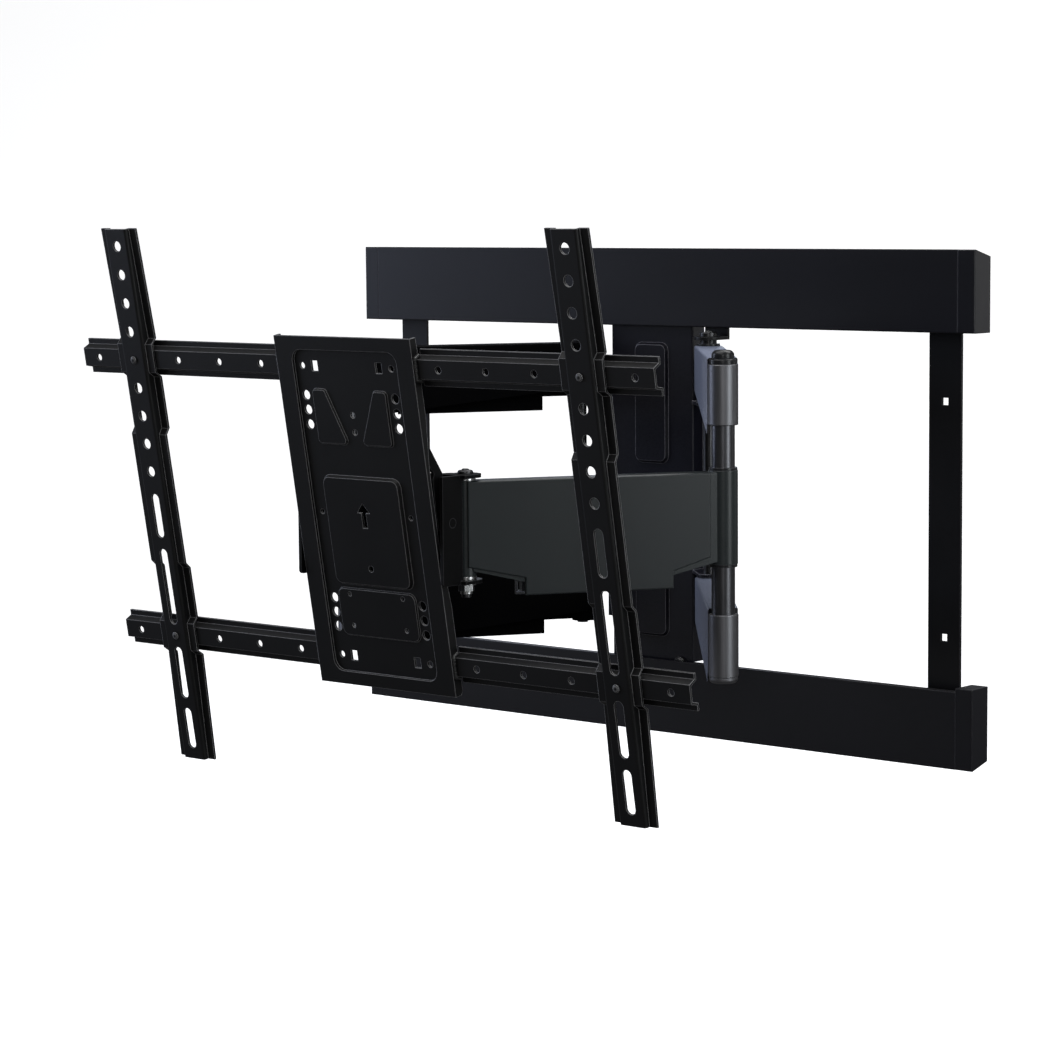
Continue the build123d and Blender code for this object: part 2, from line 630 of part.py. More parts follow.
def head_plate():
    """Pressed plate that carries the rails, with side flanges and tilt lugs."""
    t = HEAD_SHEET
    middle = -RAIL_GAP / 2
    half_height = RAIL_GAP / 2 + HEAD_EDGE
    top = HEAD_EDGE
    bottom = -RAIL_GAP - HEAD_EDGE
    front = BORDER_FRONT
    body = box(-HEAD_HALF, HEAD_HALF, -front, -front + t, bottom, top)
    recess = BORDER_FRONT - FIELD_FRONT
    field_half = HEAD_HALF - 18
    field_height = 2 * half_height - 23
    outline = Pos(0, -front, middle) * Rot(90, 0, 0) * RectangleRounded(2 * field_half, field_height, 10)
    pan = Pos(0, 0, middle) * Rot(90, 0, 0) * RectangleRounded(2 * field_half + 4, field_height + 4, 12)
    body += Pos(0, -front + recess + t, 0) * extrude(pan, recess + t / 2)
    body -= extrude(outline, -recess)
    for side in (RIGHT, LEFT):
        body += head_flange(side)
    body = body + central_pads()
    body -= pad_hollows()
    body -= head_holes()
    return HEAD_PLACE * body


def head_flange(side):
    """Side flange of the head plate, cut back where it passes the yoke."""
    low, high = sorted((side * (HEAD_HALF - HEAD_SHEET), side * HEAD_HALF))
    front = -BORDER_FRONT + 0.5
    top = HEAD_EDGE
    bottom = -RAIL_GAP - HEAD_EDGE
    outline = [
        (front, bottom), (front, top), (3.2, top), (4, top - 4), (4, -42), (0.3, -84),
        (0.3, -163), (4.5, -188), (5.5, -200), (5.5, bottom + 3), (3, bottom),
    ]
    return prism_x(outline, low, high)


PAD_RISE = 3.0


def trapezoid(side, grow):
    """Upper stiffening pad: one upright side, one that leans in towards the middle."""
    outer = side * (42 + grow)
    points = [
        (outer, -19 + grow), (side * (27 - grow), -19 + grow),
        (side * (7 - grow), -66 - grow), (outer, -66 - grow),
    ]
    return fillet(panel_cut(points).vertices(), 4)


def central_pads():
    """Raised pads of the head plate, pressed towards the screen."""
    front = FIELD_FRONT
    frame = Pos(0, -front, -139.75) * Rot(90, 0, 0) * RectangleRounded(87, 94.5, 8)
    body = extrude(frame, PAD_RISE, taper=30)
    low_pad = Pos(0, -front, -211) * Rot(90, 0, 0) * RectangleRounded(88, 42, 7)
    body += extrude(low_pad, PAD_RISE / 2, taper=30)
    for side in (RIGHT, LEFT):
        body += pressed(trapezoid(side, 0), front, PAD_RISE * 0.6, 30)
    return body


def pad_hollows():
    """Hollow backs of the raised pads."""
    back = FIELD_FRONT - HEAD_SHEET
    frame = Pos(0, -back, -139.75) * Rot(90, 0, 0) * RectangleRounded(84, 91.5, 7)
    body = extrude(frame, PAD_RISE, taper=30)
    low_pad = Pos(0, -back, -211) * Rot(90, 0, 0) * RectangleRounded(85, 39, 6)
    body += extrude(low_pad, PAD_RISE / 2, taper=30)
    for side in (RIGHT, LEFT):
        body += pressed(trapezoid(side, -1.5), back, PAD_RISE * 0.6, 30)
    return body


def head_holes():
    """All holes of the head plate as one cutter."""
    deep = 12
    cutters = []
    for side in (RIGHT, LEFT):
        x = side * 50
        for z in (0, -RAIL_GAP):
            cutters.append(bore_y(x, z, 2.8, -deep, deep))
            cutters.append(box(side * 36 - 3.5, side * 36 + 3.5, -deep, deep, z - 4.5, z + 4.5))
        for z in (-25.0, -37.5, -50.0, -200.0, -212.5, -225.0):
            cutters.append(bore_y(x, z, 4.1, -deep, deep))
        cutters.append(bore_y(x, -125, 2.2, -deep, deep))
        for z in (-195.0, -222.5):
            cutters.append(bore_y(side * 30, z, 2.0, -deep, deep))
    for z in (-40.5, -55.0, -171.0):
        cutters.append(bore_y(0, z, 2.6, -deep, deep))
    arrow = [(0, -115), (7, -123), (2.6, -123), (2.6, -136), (-2.6, -136), (-2.6, -123), (-7, -123)]
    cutters.append(prism_y(arrow, -deep, deep))
    return cutters


def tilt_arm(side):
    """Flat arm from the head plate's flange back to the tilt bolt, in world places."""
    outer = HEAD_HALF - HEAD_SHEET
    low, high = sorted((side * outer, side * (outer - TILT_ARM_THICK)))
    outline = [
        (TILT_Y + 6.9, TILT_Z + 4), (-418.7, 48.9), (-434.8, 71.9), (-439.0, 80), (-441.5, 90),
        (-444.4, 90), (-439.0, 59.5), (-433.9, 54.8), (-428.5, 48.8), (-430.5, 44), (-427.0, 18),
        (-423.5, 2), (TILT_Y - 4, TILT_Z - 6),
    ]
    body = prism_x(outline, low, high)
    body += rod_x(TILT_Y, TILT_Z, 7, low, high)
    body -= rod_x(TILT_Y, TILT_Z, TILT_BOLT + RUNNING, low - 1, high + 1)
    return Pos(YOKE_X, 0, 0) * body


# The bracket's brims lie on the rails' crowns and sink back between them.
BRIM_ON_RAIL = -2.0
BRIM_DEEP = 2.9
BRIM_SHALLOW = -1.2
BRIM_TIP = -0.7


def brim_line():
    """Front line of a bracket brim as (y, z), mirrored about the bracket's middle."""
    upper = [
        (BRIM_TIP, BRACKET_END), (BRIM_DEEP, 18), (BRIM_ON_RAIL, 13.5), (BRIM_ON_RAIL, -11.5),
        (BRIM_DEEP, -16), (BRIM_DEEP, -62), (BRIM_SHALLOW, -67),
    ]
    lower = [(y, -RAIL_GAP - z) for y, z in reversed(upper)]
    return upper + lower


def strip(line, thick):
    """Closed outline of a sheet that follows a line, thickened towards +Y."""
    return line + [(y + thick, z) for y, z in reversed(line)]


def bracket(side):
    """Upright television bracket with a pressed hat section."""
    t = HEAD_SHEET
    top = BRACKET_END
    bottom = -RAIL_GAP - BRACKET_END
    f = BRACKET_FRONT
    face = box(-BRACKET_FACE, BRACKET_FACE, -f, -f + 3.2, bottom, top)
    face = fillet(face.edges().filter_by(Axis.Z).group_by(Axis.Y)[0], 2.4)
    face -= box(-BRACKET_FACE + t, BRACKET_FACE - t, -f + t, 10, bottom - 1, top + 1)
    line = brim_line()
    web = [(-f + 2.6, top)] + [(y + t, z) for y, z in line] + [(-f + 2.6, bottom)]
    for s in (RIGHT, LEFT):
        low, high = sorted((s * (BRACKET_FACE - t), s * BRACKET_FACE))
        face += prism_x(web, low, high)
        low, high = sorted((s * (BRACKET_FACE - 0.5), s * BRACKET_BRIM))
        face += prism_x(strip(line, t), low, high)
    for index in range(9):
        if index == 4:
            continue
        face -= bore_y(0, 100 - 25 * index, TV_HOLE / 2, -10, 10)
    for upper, lower in ((-120.4, -160.0), (-170.4, -239.4), (-260.7, -308.0), (-317.6, -355.0)):
        face -= slot_z(0, (upper + lower) / 2, upper - lower, TV_HOLE, -10, 10)
    for z in (0, -RAIL_GAP):
        face -= bore_y(0, z, 3.0, -10, 10)
    return HEAD_PLACE * Pos(side * BRACKET_X, 0, 0) * face


def bracket_bolts():
    """Flush bolts that clamp the brackets to the rails."""
    group = []
    for side in (RIGHT, LEFT):
        for z in (0, -RAIL_GAP):
            bolt = bore_y(side * BRACKET_X, z, 3.0, -BRACKET_FRONT - 0.6, 2)
            bolt += bore_y(side * BRACKET_X, z, 5.0, 2, 6)
            group.append(HEAD_PLACE * bolt)
    return Compound(children=group)


# ---------------------------------------------------------------- assembly
def build():
    parts["wall_plate"] = wall_plate()
    parts["top_rail"] = rail(1)
    parts["bottom_rail"] = rail(-1)
    parts["top_cover"] = cover(1, 0)
    parts["bottom_cover"] = cover(-1, BOTTOM_PANEL_STEP)
    parts["frame_bolts"] = frame_bolts()
    for side in (RIGHT, LEFT):
        name = SIDE_NAME[side]
        parts[name + "_strap"] = strap(side)
        parts["top_" + name + "_end_cap"] = end_cap(side, 1)
        parts["bottom_" + name + "_end_cap"] = end_cap(side, -1)
        parts[name + "_top_ear"] = top_ear(side)
        parts[name + "_wall_pin"] = wall_pin(side)
        parts[name + "_wall_bushes"] = wall_bushes(side)
        rear_arm(side)
        front_arm(side)
        parts[name + "_yoke_bolt"] = yoke_bolt(side)
        parts[name + "_yoke_nut"] = yoke_nut(side)
        parts[name + "_yoke_washers"] = yoke_washers(side)
        parts["upper_" + name + "_rail"] = head_rail(side, 0)
        parts["lower_" + name + "_rail"] = head_rail(side, -RAIL_GAP)
        parts[name + "_tilt_arm"] = tilt_arm(side)
        parts[name + "_bracket"] = bracket(side)
    parts["yoke"] = yoke()
    parts["tilt_bolts"] = tilt_bolts()
    parts["head_plate"] = head_plate()
    parts["bracket_bolts"] = bracket_bolts()


build()
os.makedirs("parts", exist_ok=True)
for node, shape in parts.items():
    export_step(shape, os.path.join("parts", node + ".step"))
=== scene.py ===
"""Finishes and fine detail of a dual-arm full motion television mount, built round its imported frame."""
import math

import bpy
from mathutils import Matrix, Vector


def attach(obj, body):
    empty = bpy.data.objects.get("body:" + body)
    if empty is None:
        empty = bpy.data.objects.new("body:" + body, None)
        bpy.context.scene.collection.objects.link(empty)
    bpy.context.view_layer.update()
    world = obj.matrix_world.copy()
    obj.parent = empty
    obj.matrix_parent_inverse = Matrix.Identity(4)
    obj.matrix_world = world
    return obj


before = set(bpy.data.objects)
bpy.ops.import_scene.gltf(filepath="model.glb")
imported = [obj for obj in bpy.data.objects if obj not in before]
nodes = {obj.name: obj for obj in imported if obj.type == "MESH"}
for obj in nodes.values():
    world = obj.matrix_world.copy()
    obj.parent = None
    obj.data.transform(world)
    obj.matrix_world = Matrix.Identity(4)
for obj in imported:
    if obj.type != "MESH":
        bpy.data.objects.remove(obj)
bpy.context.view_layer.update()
MM = 0.001


# ---------------------------------------------------------------- node helpers
MIX_AMOUNT, MIX_FIRST, MIX_SECOND, MIX_RESULT = 0, 6, 7, 2      # places of a Mix node's colour sockets


def add(tree, kind, **settings):
    """New node with its settings."""
    node = tree.nodes.new(kind)
    for key, value in settings.items():
        setattr(node, key, value)
    return node


def feed(tree, socket, value):
    """Link an output into a socket, or set the socket's own value."""
    if isinstance(value, bpy.types.NodeSocket):
        tree.links.new(value, socket)
    else:
        socket.default_value = value


def combine(tree, operation, first, second, clamp=False):
    """Math node on two values or outputs."""
    node = add(tree, "ShaderNodeMath", operation=operation, use_clamp=clamp)
    feed(tree, node.inputs[0], first)
    feed(tree, node.inputs[1], second)
    return node.outputs[0]


def stretch(tree, value, low, high, to_low=0.0, to_high=1.0):
    """Map Range node, clamped."""
    node = add(tree, "ShaderNodeMapRange")
    feed(tree, node.inputs["Value"], value)
    for name, number in (("From Min", low), ("From Max", high), ("To Min", to_low), ("To Max", to_high)):
        feed(tree, node.inputs[name], number)
    return node.outputs["Result"]


def blend_colour(tree, amount, first, second):
    """Mix of two colours."""
    node = add(tree, "ShaderNodeMix", data_type="RGBA")
    feed(tree, node.inputs[MIX_AMOUNT], amount)
    feed(tree, node.inputs[MIX_FIRST], first)
    feed(tree, node.inputs[MIX_SECOND], second)
    return node.outputs[MIX_RESULT]


def placed_coordinates(tree, scale=(1, 1, 1), turn=(0, 0, 0)):
    """Object coordinates through a Mapping node."""
    where = add(tree, "ShaderNodeTexCoord")
    mapping = add(tree, "ShaderNodeMapping")
    mapping.inputs["Scale"].default_value = scale
    mapping.inputs["Rotation"].default_value = turn
    tree.links.new(where.outputs["Object"], mapping.inputs["Vector"])
    return mapping.outputs["Vector"]


def noise(tree, vector, scale, detail=3.0, rough=0.55):
    """Noise texture value."""
    node = add(tree, "ShaderNodeTexNoise")
    feed(tree, node.inputs["Vector"], vector)
    feed(tree, node.inputs["Scale"], scale)
    feed(tree, node.inputs["Detail"], detail)
    feed(tree, node.inputs["Roughness"], rough)
    return node.outputs[0]


def new_tree(kind, name, inputs, outputs):
    """Empty node tree with named sockets, its group input and its group output."""
    tree = bpy.data.node_groups.new(name, kind)
    for label, socket_type, value in inputs:
        socket = tree.interface.new_socket(label, in_out="INPUT", socket_type=socket_type)
        if value is not None:
            socket.default_value = value
    for label, socket_type in outputs:
        tree.interface.new_socket(label, in_out="OUTPUT", socket_type=socket_type)
    return tree, add(tree, "NodeGroupInput"), add(tree, "NodeGroupOutput")


# ---------------------------------------------------------------- shared effects
def build_painted_edge_highlight():
    """Where the sheet turns a corner: a soft normal, and a mask for a painted edge highlight broken up into
    patches.
    """
    tree, given, out = new_tree(
        "ShaderNodeTree", "edge_wear",
        [("Radius", "NodeSocketFloat", 0.0006), ("Reach", "NodeSocketFloat", 0.12),
         ("Patchiness", "NodeSocketFloat", 0.35)],
        [("Edge", "NodeSocketFloat"), ("Normal", "NodeSocketVector")],
    )
    bevel = add(tree, "ShaderNodeBevel", samples=6)
    tree.links.new(given.outputs["Radius"], bevel.inputs["Radius"])
    surface = add(tree, "ShaderNodeNewGeometry")
    compare = add(tree, "ShaderNodeVectorMath", operation="DOT_PRODUCT")
    tree.links.new(bevel.outputs["Normal"], compare.inputs[0])
    tree.links.new(surface.outputs["True Normal"], compare.inputs[1])
    turned = combine(tree, "SUBTRACT", 1.0, compare.outputs["Value"])
    edge = stretch(tree, turned, low=0.004, high=given.outputs["Reach"])
    patches = noise(tree, placed_coordinates(tree), scale=45.0, detail=4.0, rough=0.6)
    highlight_gaps = stretch(tree, patches, low=0.3, high=0.7)
    missing = combine(tree, "MULTIPLY", highlight_gaps, given.outputs["Patchiness"])
    share = combine(tree, "SUBTRACT", 1.0, missing)
    # Edge mask for a painted highlight: the materials lighten their colour along it
    tree.links.new(combine(tree, "MULTIPLY", edge, share, clamp=True), out.inputs["Edge"])
    tree.links.new(bevel.outputs["Normal"], out.inputs["Normal"])
    return tree


def build_coat_grain():
    """Fine orange peel and speckle of baked powder coat, with broad faint clouds."""
    tree, given, out = new_tree(
        "ShaderNodeTree", "coat_grain",
        [("Peel Scale", "NodeSocketFloat", 900.0), ("Cloud Scale", "NodeSocketFloat", 14.0)],
        [("Height", "NodeSocketFloat"), ("Speckle", "NodeSocketFloat"), ("Cloud", "NodeSocketFloat")],
    )
    speckle_finer, speckle_share = 1.7, 0.35
    where = placed_coordinates(tree)
    peel = noise(tree, where, given.outputs["Peel Scale"])
    fine = add(tree, "ShaderNodeTexVoronoi", feature="F1")
    tree.links.new(where, fine.inputs["Vector"])
    speckle_scale = combine(tree, "MULTIPLY", given.outputs["Peel Scale"], speckle_finer)
    tree.links.new(speckle_scale, fine.inputs["Scale"])
    speckle_height = combine(tree, "MULTIPLY", fine.outputs["Distance"], speckle_share)
    tree.links.new(combine(tree, "ADD", peel, speckle_height), out.inputs["Height"])
    tree.links.new(stretch(tree, fine.outputs["Distance"], low=0.15, high=0.75), out.inputs["Speckle"])
    cloud = noise(tree, where, given.outputs["Cloud Scale"], detail=4.0, rough=0.5)
    tree.links.new(stretch(tree, cloud, low=0.3, high=0.7), out.inputs["Cloud"])
    return tree


def build_drawn_lines():
    """Fine upright lines of drawn or turned steel."""
    tree, given, out = new_tree(
        "ShaderNodeTree", "drawn_lines",
        [("Fineness", "NodeSocketFloat", 1.0)],
        [("Height", "NodeSocketFloat"), ("Tone", "NodeSocketFloat")],
    )
    where = placed_coordinates(tree, scale=(1.0, 1.0, 0.02))
    line_scale = combine(tree, "MULTIPLY", given.outputs["Fineness"], 1600.0)
    lines = noise(tree, where, line_scale, detail=4.0, rough=0.65)
    tree.links.new(lines, out.inputs["Height"])
    tree.links.new(stretch(tree, lines, low=0.3, high=0.7), out.inputs["Tone"])
    return tree


def build_handling_marks():
    """Sparse hairline rubs from handling, as a mask."""
    tree, given, out = new_tree(
        "ShaderNodeTree", "handling_marks",
        [("Amount", "NodeSocketFloat", 0.4)],
        [("Marks", "NodeSocketFloat")],
    )
    rubs = []
    for scale, tilt in (((60.0, 9.0, 14.0), 0.4), ((11.0, 10.0, 75.0), -0.5)):
        where = placed_coordinates(tree, scale, turn=(tilt, tilt * 0.6, tilt))
        lines = noise(tree, where, scale=6.0, detail=5.0, rough=0.7)
        rubs.append(stretch(tree, lines, low=0.66, high=0.74))
    both = combine(tree, "MAXIMUM", *rubs)
    tree.links.new(combine(tree, "MULTIPLY", both, given.outputs["Amount"]), out.inputs["Marks"])
    return tree


PAINTED_EDGE_HIGHLIGHT = build_painted_edge_highlight()
COAT_GRAIN = build_coat_grain()
DRAWN_LINES = build_drawn_lines()
HANDLING_MARKS = build_handling_marks()


def place_group(tree, group, **values):
    """A shared effect placed in a material, with its own values."""
    node = add(tree, "ShaderNodeGroup", node_tree=group)
    for label, value in values.items():
        node.inputs[label.replace("_", " ")].default_value = value
    return node


# ---------------------------------------------------------------- finishes
def start_material(name):
    """New material, its node tree and its shader."""
    material = bpy.data.materials.new(name)
    material.use_nodes = True
    tree = material.node_tree
    shader = tree.nodes["Principled BSDF"]
    return material, tree, shader


def bump_over(tree, shader, height, base_normal, strength, distance):
    """Bump node that lays a height over a base normal and feeds the shader's normal."""
    bump = add(tree, "ShaderNodeBump")
    bump.inputs["Strength"].default_value = strength
    bump.inputs["Distance"].default_value = distance
    tree.links.new(height, bump.inputs["Height"])
    tree.links.new(base_normal, bump.inputs["Normal"])
    tree.links.new(bump.outputs["Normal"], shader.inputs["Normal"])


def coat(name, colour, cloud, edge_highlight_colour, rough=0.42, radius=0.0007, specular=0.22, patch=0.35,
         painted_sheen_colour=None):
    """Baked powder coat on steel: peel, speckle, faint clouds, painted bright edge highlights, hairline marks
    and, if asked, a painted sheen at grazing angles.
    """
    material, tree, shader = start_material(name)
    edge = place_group(tree, PAINTED_EDGE_HIGHLIGHT, Radius=radius, Patchiness=patch)
    grain = place_group(tree, COAT_GRAIN, Peel_Scale=900.0)
    marks = place_group(tree, HANDLING_MARKS, Amount=0.35)
    rub_tone, rub_rough, edge_polish = 0.5, 0.1, 0.1
    lighter = [min(1.0, c * 1.7 + 0.004) for c in cloud]
    paint = blend_colour(tree, grain.outputs["Cloud"], (*colour, 1), (*cloud, 1))
    rubbed = combine(tree, "MULTIPLY", marks.outputs["Marks"], rub_tone)
    paint = blend_colour(tree, rubbed, paint, (*lighter, 1))
    # Painted highlight: the edges turn a lighter colour, as if they caught the light
    paint = blend_colour(tree, edge.outputs["Edge"], paint, (*edge_highlight_colour, 1))
    # Painted sheen: the colour turns pale blue where the surface is seen nearly edge on, in place of a
    # reflection
    if painted_sheen_colour:
        facing = add(tree, "ShaderNodeLayerWeight")
        painted_sheen_amount = stretch(tree, facing.outputs["Facing"], low=0.80, high=0.97)
        paint = blend_colour(tree, painted_sheen_amount, paint, (*painted_sheen_colour, 1))
    tree.links.new(paint, shader.inputs["Base Color"])
    satin = stretch(tree, grain.outputs["Speckle"], 0, 1, rough - 0.05, rough + 0.06)
    satin = combine(tree, "ADD", satin, combine(tree, "MULTIPLY", marks.outputs["Marks"], rub_rough))
    satin = combine(tree, "SUBTRACT", satin, combine(tree, "MULTIPLY", edge.outputs["Edge"], edge_polish))
    tree.links.new(satin, shader.inputs["Roughness"])
    shader.inputs["Specular IOR Level"].default_value = specular
    bump_over(tree, shader, grain.outputs["Height"], edge.outputs["Normal"], strength=0.12, distance=0.2 * MM)
    return material


def moulding(name, colour, cloud, edge_highlight_colour, rough, specular=0.3):
    """Moulded plastic: very fine spark texture, broad tone change, soft lit edges."""
    material, tree, shader = start_material(name)
    edge = place_group(tree, PAINTED_EDGE_HIGHLIGHT, Radius=0.0008, Patchiness=0.15)
    grain = place_group(tree, COAT_GRAIN, Peel_Scale=2400.0, Cloud_Scale=5.0)
    marks = place_group(tree, HANDLING_MARKS, Amount=0.25)
    rub_rough = 0.12
    tone = blend_colour(tree, grain.outputs["Cloud"], (*colour, 1), (*cloud, 1))
    # Painted highlight: the edges turn a lighter colour, as if they caught the light
    tone = blend_colour(tree, edge.outputs["Edge"], tone, (*edge_highlight_colour, 1))
    tree.links.new(tone, shader.inputs["Base Color"])
    satin = stretch(tree, grain.outputs["Speckle"], 0, 1, rough - 0.03, rough + 0.04)
    satin = combine(tree, "ADD", satin, combine(tree, "MULTIPLY", marks.outputs["Marks"], rub_rough))
    tree.links.new(satin, shader.inputs["Roughness"])
    shader.inputs["Specular IOR Level"].default_value = specular
    bump_over(tree, shader, grain.outputs["Height"], edge.outputs["Normal"], strength=0.05, distance=0.1 * MM)
    return material


def turned_steel(name, dark, light, edge_highlight_colour, rough, bump=0.08):
    """Drawn or turned steel with fine upright lines and a painted edge highlight."""
    material, tree, shader = start_material(name)
    edge = place_group(tree, PAINTED_EDGE_HIGHLIGHT, Radius=0.0006, Patchiness=0.2)
    lines = place_group(tree, DRAWN_LINES, Fineness=1.0)
    tone = blend_colour(tree, lines.outputs["Tone"], (*dark, 1), (*light, 1))
    # Painted highlight: the edges turn a lighter colour, as if they caught the light
    tone = blend_colour(tree, edge.outputs["Edge"], tone, (*edge_highlight_colour, 1))
    tree.links.new(tone, shader.inputs["Base Color"])
    satin = stretch(tree, lines.outputs["Tone"], 0, 1, rough - 0.04, rough + 0.05)
    tree.links.new(satin, shader.inputs["Roughness"])
    shader.inputs["Metallic"].default_value = 1.0
    bump_over(tree, shader, lines.outputs["Height"], edge.outputs["Normal"], strength=bump, distance=0.1 * MM)
    return material


bracket_coat = coat("bracket_coat", (0.0048, 0.0048, 0.0051), (0.0075, 0.0075, 0.0080),
                    (0.42, 0.42, 0.43), radius=0.0008, patch=0.25)
rail_coat = coat("rail_coat", (0.0062, 0.0062, 0.0067), (0.0095, 0.0095, 0.0103),
                 (0.36, 0.36, 0.37), radius=0.0008, patch=0.25)
head_coat = coat("head_coat", (0.0042, 0.0042, 0.0045), (0.0065, 0.0065, 0.007),
                 (0.34, 0.34, 0.35), radius=0.0009, patch=0.2)
plate_coat = coat("wall_plate_coat", (0.005, 0.005, 0.008), (0.008, 0.008, 0.014),
                  (0.30, 0.30, 0.34), rough=0.3, radius=0.0009, patch=0.15)
frame_coat = coat("frame_coat", (0.004, 0.004, 0.005), (0.006, 0.006, 0.007), (0.06, 0.06, 0.065))
# Right beams and cable hooks: the coat with a painted pale-blue sheen at grazing angles
arm_coat = coat("arm_coat", (0.0045, 0.0045, 0.0060), (0.0065, 0.0065, 0.0085),
                (0.10, 0.10, 0.12), rough=0.28, specular=0.4, painted_sheen_colour=(0.24, 0.27, 0.37))
# Painted shade: a near-black, dull copy of the beam coat for the left beams, which stand in shade
painted_shade_coat = coat("deep_black_coat", (0.0006, 0.0006, 0.0009), (0.0010, 0.0010, 0.0014),
                 (0.012, 0.012, 0.014), rough=0.55, specular=0.03)
forearm_coat = coat("forearm_coat", (0.014, 0.0175, 0.0185), (0.019, 0.0235, 0.0245),
                    (0.09, 0.10, 0.105), rough=0.30, specular=0.35)
yoke_coat = coat("yoke_coat", (0.0018, 0.0018, 0.0021), (0.0030, 0.0030, 0.0034),
                 (0.07, 0.07, 0.075), rough=0.46, specular=0.10)
weld_coat = coat("weld_coat", (0.012, 0.012, 0.012), (0.020, 0.020, 0.020),
                 (0.09, 0.09, 0.09), rough=0.28, radius=0.0002, specular=0.45)
cover_plastic = moulding("cover_plastic", (0.0035, 0.0035, 0.0055), (0.0052, 0.0052, 0.0085),
                         (0.05, 0.05, 0.06), 0.33)
panel_plastic = moulding("panel_plastic", (0.0075, 0.0100, 0.0112), (0.0105, 0.0135, 0.0150),
                         (0.05, 0.06, 0.065), 0.34, specular=0.35)
cap_plastic = moulding("cap_plastic", (0.008, 0.008, 0.009), (0.013, 0.013, 0.015),
                       (0.09, 0.09, 0.10), 0.28)
sleeve_steel = turned_steel("sleeve_steel", (0.150, 0.150, 0.160), (0.185, 0.185, 0.196),
                            (0.30, 0.30, 0.32), 0.43, bump=0.04)
post_steel = turned_steel("post_steel", (0.085, 0.085, 0.092), (0.110, 0.110, 0.118),
                          (0.30, 0.30, 0.32), 0.33, bump=0.04)
dark_bolt = turned_steel("dark_bolt_steel", (0.04, 0.04, 0.042), (0.07, 0.07, 0.072),
                         (0.25, 0.25, 0.25), 0.34)
bright_zinc = turned_steel("bright_zinc", (0.42, 0.42, 0.42), (0.60, 0.60, 0.60), (0.8, 0.8, 0.8), 0.26)

FINISH = {
    "wall_plate": plate_coat, "yoke": yoke_coat, "head_plate": head_coat,
    "top_rail": frame_coat, "bottom_rail": frame_coat,
    # The left beams take the painted-shade copy of the beam coat
    "left_upper_beam": painted_shade_coat, "left_lower_beam": painted_shade_coat,
    "top_cover": cover_plastic, "bottom_cover": cover_plastic,
    "tilt_bolts": yoke_coat, "bracket_bolts": bracket_coat, "frame_bolts": dark_bolt,
}
ENDINGS = [
    ("_strap", frame_coat), ("_end_cap", cover_plastic), ("_top_ear", frame_coat),
    ("_wall_pin", dark_bolt), ("_wall_bushes", cap_plastic), ("_beam", arm_coat),
    ("_elbow_post", post_steel), ("_sleeve", sleeve_steel), ("_top_cap", cap_plastic),
    ("_bottom_cap", sleeve_steel), ("_elbow_collars", cap_plastic), ("_forearm_panel", panel_plastic),
    ("_forearm", forearm_coat), ("_cable_hook", arm_coat), ("_yoke_bolt", dark_bolt),
    ("_yoke_nut", bright_zinc), ("_yoke_washers", bright_zinc), ("_rail", rail_coat),
    ("_tilt_arm", yoke_coat), ("_bracket", bracket_coat),
]


def finish_of(name):
    """The finish of a CAD node."""
    if name in FINISH:
        return FINISH[name]
    return next(material for ending, material in ENDINGS if name.endswith(ending))


for name, obj in nodes.items():
    obj.data.materials.clear()
    obj.data.materials.append(finish_of(name))


# ---------------------------------------------------------------- repeated detail
def geometry_tree(name, inputs):
    """Empty Geometry Nodes tree with named inputs after its geometry."""
    geometry = ("Geometry", "NodeSocketGeometry")
    return new_tree("GeometryNodeTree", name, [(*geometry, None), *inputs], [geometry])


def finish_tree(tree, given, out, instances):
    """Realize the instances, set their material and hand them out."""
    real = add(tree, "GeometryNodeRealizeInstances")
    tree.links.new(instances, real.inputs[0])
    paint = add(tree, "GeometryNodeSetMaterial")
    tree.links.new(real.outputs[0], paint.inputs["Geometry"])
    tree.links.new(given.outputs["Material"], paint.inputs["Material"])
    tree.links.new(paint.outputs[0], out.inputs[0])


def build_weld_tree():
    """Overlapping drops along a path of edges, as a run of weld."""
    tree, given, out = geometry_tree("weld_run", [
        ("Drop Radius", "NodeSocketFloat", 0.0011), ("Spacing", "NodeSocketFloat", 0.0011),
        ("Seed", "NodeSocketInt", 3), ("Material", "NodeSocketMaterial", None),
    ])
    path = add(tree, "GeometryNodeMeshToCurve")
    tree.links.new(given.outputs["Geometry"], path.inputs["Mesh"])
    steps = add(tree, "GeometryNodeResampleCurve", mode="LENGTH")
    tree.links.new(path.outputs[0], steps.inputs["Curve"])
    tree.links.new(given.outputs["Spacing"], steps.inputs["Length"])
    drop = add(tree, "GeometryNodeMeshIcoSphere")
    drop.inputs["Subdivisions"].default_value = 2
    tree.links.new(given.outputs["Drop Radius"], drop.inputs["Radius"])
    size = add(tree, "FunctionNodeRandomValue", data_type="FLOAT")
    size_limits = {"Min": 0.85, "Max": 1.12}
    for socket in size.inputs:
        if socket.name in size_limits and socket.type == "VALUE":
            socket.default_value = size_limits[socket.name]
        if socket.name == "Seed":
            tree.links.new(given.outputs["Seed"], socket)
    drop_size = next(socket for socket in size.outputs if socket.type == "VALUE")
    place = add(tree, "GeometryNodeInstanceOnPoints")
    tree.links.new(steps.outputs[0], place.inputs["Points"])
    tree.links.new(drop.outputs["Mesh"], place.inputs["Instance"])
    tree.links.new(drop_size, place.inputs["Scale"])
    finish_tree(tree, given, out, place.outputs[0])
    return tree


